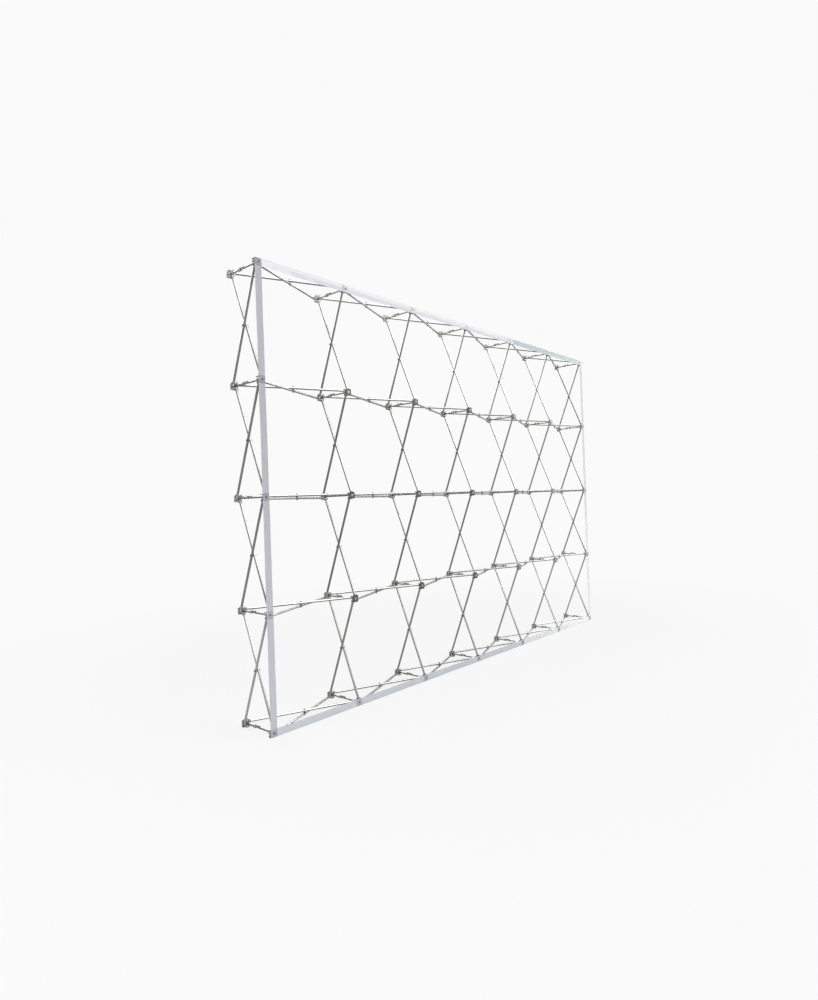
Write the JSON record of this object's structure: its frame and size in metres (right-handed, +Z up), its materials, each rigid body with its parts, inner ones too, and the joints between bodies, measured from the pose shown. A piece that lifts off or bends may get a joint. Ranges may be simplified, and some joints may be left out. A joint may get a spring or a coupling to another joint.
{
  "type": "pop-up backdrop frame",
  "caption": "Straight pop-up scissor-lattice frame of round tubes with offset hubs, hooked lock arms and a flat loop-tape strap round the front that holds a fabric backdrop.",
  "frame": {"origin": "middle of the frame's footprint, on the floor", "axes": "+X along the width, to the right seen from the front; +Y from the strapped front to the back; +Z up"},
  "size_m": [4.4974, 0.3274, 3.0174],
  "materials": {
    "hub_nylon": "olive-grey moulded nylon",
    "cap_plastic": "grey moulded cap",
    "screw_steel": "zinc-plated steel",
    "pin_black": "black coated steel pin",
    "tube_aluminium": "satin anodised aluminium tube",
    "end_nylon": "light grey nylon",
    "rivet_black": "black coated rivet",
    "washer_black": "black nylon washer",
    "strap_upper": "white brushed loop tape",
    "strap_lower": "loop tape, lavender-grey in shade",
    "strap_right": "loop tape, very pale grey-green",
    "plate_clear": "bluish-grey translucent plastic",
    "fork_nylon": "dark grey moulded nylon",
    "arm_nylon": "dark grey moulded nylon",
    "post_nylon": "dark grey moulded nylon",
    "finger_nylon": "dark grey moulded nylon"
  },
  "bodies": {
    "frame": {"front_hubs": "hub_nylon", "back_hubs": "hub_nylon", "hub_caps": "cap_plastic", "hub_screws": "screw_steel", "front_hub_pins": "pin_black", "back_hub_pins": "pin_black", "row_tubes_lower": "tube_aluminium", "row_tubes_upper": "tube_aluminium", "column_tubes_left": "tube_aluminium", "column_tubes_right": "tube_aluminium", "row_tube_ends": "end_nylon", "column_tube_ends": "end_nylon", "crossing_rivets": "rivet_black", "crossing_spacers": "washer_black", "crossing_washers": "washer_black", "strap_top": "strap_upper", "strap_bottom": "strap_lower", "strap_left": "strap_lower", "strap_right": "strap_right", "strap_plates": "plate_clear", "strap_screws": "pin_black", "arm_forks": "fork_nylon", "lock_posts": "post_nylon", "lock_pins": "screw_steel", "guide_fingers": "finger_nylon"},
    "arm_row1_col1": {"lock_arm_row1_col1": "arm_nylon"},
    "arm_row1_col2": {"lock_arm_row1_col2": "arm_nylon"},
    "arm_row1_col3": {"lock_arm_row1_col3": "arm_nylon"},
    "arm_row1_col4": {"lock_arm_row1_col4": "arm_nylon"},
    "arm_row1_col5": {"lock_arm_row1_col5": "arm_nylon"},
    "arm_row1_col6": {"lock_arm_row1_col6": "arm_nylon"},
    "arm_row1_col7": {"lock_arm_row1_col7": "arm_nylon"},
    "arm_row2_col1": {"lock_arm_row2_col1": "arm_nylon"},
    "arm_row2_col2": {"lock_arm_row2_col2": "arm_nylon"},
    "arm_row2_col3": {"lock_arm_row2_col3": "arm_nylon"},
    "arm_row2_col4": {"lock_arm_row2_col4": "arm_nylon"},
    "arm_row2_col5": {"lock_arm_row2_col5": "arm_nylon"},
    "arm_row2_col6": {"lock_arm_row2_col6": "arm_nylon"},
    "arm_row2_col7": {"lock_arm_row2_col7": "arm_nylon"},
    "arm_row3_col1": {"lock_arm_row3_col1": "arm_nylon"},
    "arm_row3_col2": {"lock_arm_row3_col2": "arm_nylon"},
    "arm_row3_col3": {"lock_arm_row3_col3": "arm_nylon"},
    "arm_row3_col4": {"lock_arm_row3_col4": "arm_nylon"},
    "arm_row3_col5": {"lock_arm_row3_col5": "arm_nylon"},
    "arm_row3_col6": {"lock_arm_row3_col6": "arm_nylon"},
    "arm_row3_col7": {"lock_arm_row3_col7": "arm_nylon"},
    "arm_row4_col1": {"lock_arm_row4_col1": "arm_nylon"},
    "arm_row4_col2": {"lock_arm_row4_col2": "arm_nylon"},
    "arm_row4_col3": {"lock_arm_row4_col3": "arm_nylon"},
    "arm_row4_col4": {"lock_arm_row4_col4": "arm_nylon"},
    "arm_row4_col5": {"lock_arm_row4_col5": "arm_nylon"},
    "arm_row4_col6": {"lock_arm_row4_col6": "arm_nylon"},
    "arm_row4_col7": {"lock_arm_row4_col7": "arm_nylon"},
    "arm_row5_col1": {"lock_arm_row5_col1": "arm_nylon"},
    "arm_row5_col2": {"lock_arm_row5_col2": "arm_nylon"},
    "arm_row5_col3": {"lock_arm_row5_col3": "arm_nylon"},
    "arm_row5_col4": {"lock_arm_row5_col4": "arm_nylon"},
    "arm_row5_col5": {"lock_arm_row5_col5": "arm_nylon"},
    "arm_row5_col6": {"lock_arm_row5_col6": "arm_nylon"},
    "arm_row5_col7": {"lock_arm_row5_col7": "arm_nylon"}
  },
  "joints": [
    {"name": "arm_hinge_row1_col1", "type": "hinge", "parent": "frame", "child": "arm_row1_col1", "pos_m": [-2.22, -0.12385, 0.0287], "axis": [1, 0, 0], "range_deg": [0, 65]},
    {"name": "arm_hinge_row1_col2", "type": "hinge", "parent": "frame", "child": "arm_row1_col2", "pos_m": [-1.48, -0.12385, 0.0287], "axis": [1, 0, 0], "range_deg": [0, 65]},
    {"name": "arm_hinge_row1_col3", "type": "hinge", "parent": "frame", "child": "arm_row1_col3", "pos_m": [-0.74, -0.12385, 0.0287], "axis": [1, 0, 0], "range_deg": [0, 65]},
    {"name": "arm_hinge_row1_col4", "type": "hinge", "parent": "frame", "child": "arm_row1_col4", "pos_m": [0, -0.12385, 0.0287], "axis": [1, 0, 0], "range_deg": [0, 65]},
    {"name": "arm_hinge_row1_col5", "type": "hinge", "parent": "frame", "child": "arm_row1_col5", "pos_m": [0.74, -0.12385, 0.0287], "axis": [1, 0, 0], "range_deg": [0, 65]},
    {"name": "arm_hinge_row1_col6", "type": "hinge", "parent": "frame", "child": "arm_row1_col6", "pos_m": [1.48, -0.12385, 0.0287], "axis": [1, 0, 0], "range_deg": [0, 65]},
    {"name": "arm_hinge_row1_col7", "type": "hinge", "parent": "frame", "child": "arm_row1_col7", "pos_m": [2.22, -0.12385, 0.0287], "axis": [1, 0, 0], "range_deg": [0, 65]},
    {"name": "arm_hinge_row2_col1", "type": "hinge", "parent": "frame", "child": "arm_row2_col1", "pos_m": [-2.22, -0.12385, 0.7687], "axis": [1, 0, 0], "range_deg": [0, 65]},
    {"name": "arm_hinge_row2_col2", "type": "hinge", "parent": "frame", "child": "arm_row2_col2", "pos_m": [-1.48, -0.12385, 0.7687], "axis": [1, 0, 0], "range_deg": [0, 65]},
    {"name": "arm_hinge_row2_col3", "type": "hinge", "parent": "frame", "child": "arm_row2_col3", "pos_m": [-0.74, -0.12385, 0.7687], "axis": [1, 0, 0], "range_deg": [0, 65]},
    {"name": "arm_hinge_row2_col4", "type": "hinge", "parent": "frame", "child": "arm_row2_col4", "pos_m": [0, -0.12385, 0.7687], "axis": [1, 0, 0], "range_deg": [0, 65]},
    {"name": "arm_hinge_row2_col5", "type": "hinge", "parent": "frame", "child": "arm_row2_col5", "pos_m": [0.74, -0.12385, 0.7687], "axis": [1, 0, 0], "range_deg": [0, 65]},
    {"name": "arm_hinge_row2_col6", "type": "hinge", "parent": "frame", "child": "arm_row2_col6", "pos_m": [1.48, -0.12385, 0.7687], "axis": [1, 0, 0], "range_deg": [0, 65]},
    {"name": "arm_hinge_row2_col7", "type": "hinge", "parent": "frame", "child": "arm_row2_col7", "pos_m": [2.22, -0.12385, 0.7687], "axis": [1, 0, 0], "range_deg": [0, 65]},
    {"name": "arm_hinge_row3_col1", "type": "hinge", "parent": "frame", "child": "arm_row3_col1", "pos_m": [-2.22, -0.12385, 1.5087], "axis": [1, 0, 0], "range_deg": [0, 65]},
    {"name": "arm_hinge_row3_col2", "type": "hinge", "parent": "frame", "child": "arm_row3_col2", "pos_m": [-1.48, -0.12385, 1.5087], "axis": [1, 0, 0], "range_deg": [0, 65]},
    {"name": "arm_hinge_row3_col3", "type": "hinge", "parent": "frame", "child": "arm_row3_col3", "pos_m": [-0.74, -0.12385, 1.5087], "axis": [1, 0, 0], "range_deg": [0, 65]},
    {"name": "arm_hinge_row3_col4", "type": "hinge", "parent": "frame", "child": "arm_row3_col4", "pos_m": [0, -0.12385, 1.5087], "axis": [1, 0, 0], "range_deg": [0, 65]},
    {"name": "arm_hinge_row3_col5", "type": "hinge", "parent": "frame", "child": "arm_row3_col5", "pos_m": [0.74, -0.12385, 1.5087], "axis": [1, 0, 0], "range_deg": [0, 65]},
    {"name": "arm_hinge_row3_col6", "type": "hinge", "parent": "frame", "child": "arm_row3_col6", "pos_m": [1.48, -0.12385, 1.5087], "axis": [1, 0, 0], "range_deg": [0, 65]},
    {"name": "arm_hinge_row3_col7", "type": "hinge", "parent": "frame", "child": "arm_row3_col7", "pos_m": [2.22, -0.12385, 1.5087], "axis": [1, 0, 0], "range_deg": [0, 65]},
    {"name": "arm_hinge_row4_col1", "type": "hinge", "parent": "frame", "child": "arm_row4_col1", "pos_m": [-2.22, -0.12385, 2.2487], "axis": [1, 0, 0], "range_deg": [0, 65]},
    {"name": "arm_hinge_row4_col2", "type": "hinge", "parent": "frame", "child": "arm_row4_col2", "pos_m": [-1.48, -0.12385, 2.2487], "axis": [1, 0, 0], "range_deg": [0, 65]},
    {"name": "arm_hinge_row4_col3", "type": "hinge", "parent": "frame", "child": "arm_row4_col3", "pos_m": [-0.74, -0.12385, 2.2487], "axis": [1, 0, 0], "range_deg": [0, 65]},
    {"name": "arm_hinge_row4_col4", "type": "hinge", "parent": "frame", "child": "arm_row4_col4", "pos_m": [0, -0.12385, 2.2487], "axis": [1, 0, 0], "range_deg": [0, 65]},
    {"name": "arm_hinge_row4_col5", "type": "hinge", "parent": "frame", "child": "arm_row4_col5", "pos_m": [0.74, -0.12385, 2.2487], "axis": [1, 0, 0], "range_deg": [0, 65]},
    {"name": "arm_hinge_row4_col6", "type": "hinge", "parent": "frame", "child": "arm_row4_col6", "pos_m": [1.48, -0.12385, 2.2487], "axis": [1, 0, 0], "range_deg": [0, 65]},
    {"name": "arm_hinge_row4_col7", "type": "hinge", "parent": "frame", "child": "arm_row4_col7", "pos_m": [2.22, -0.12385, 2.2487], "axis": [1, 0, 0], "range_deg": [0, 65]},
    {"name": "arm_hinge_row5_col1", "type": "hinge", "parent": "frame", "child": "arm_row5_col1", "pos_m": [-2.22, -0.12385, 2.9887], "axis": [1, 0, 0], "range_deg": [0, 65]},
    {"name": "arm_hinge_row5_col2", "type": "hinge", "parent": "frame", "child": "arm_row5_col2", "pos_m": [-1.48, -0.12385, 2.9887], "axis": [1, 0, 0], "range_deg": [0, 65]},
    {"name": "arm_hinge_row5_col3", "type": "hinge", "parent": "frame", "child": "arm_row5_col3", "pos_m": [-0.74, -0.12385, 2.9887], "axis": [1, 0, 0], "range_deg": [0, 65]},
    {"name": "arm_hinge_row5_col4", "type": "hinge", "parent": "frame", "child": "arm_row5_col4", "pos_m": [0, -0.12385, 2.9887], "axis": [1, 0, 0], "range_deg": [0, 65]},
    {"name": "arm_hinge_row5_col5", "type": "hinge", "parent": "frame", "child": "arm_row5_col5", "pos_m": [0.74, -0.12385, 2.9887], "axis": [1, 0, 0], "range_deg": [0, 65]},
    {"name": "arm_hinge_row5_col6", "type": "hinge", "parent": "frame", "child": "arm_row5_col6", "pos_m": [1.48, -0.12385, 2.9887], "axis": [1, 0, 0], "range_deg": [0, 65]},
    {"name": "arm_hinge_row5_col7", "type": "hinge", "parent": "frame", "child": "arm_row5_col7", "pos_m": [2.22, -0.12385, 2.9887], "axis": [1, 0, 0], "range_deg": [0, 65]}
  ]
}
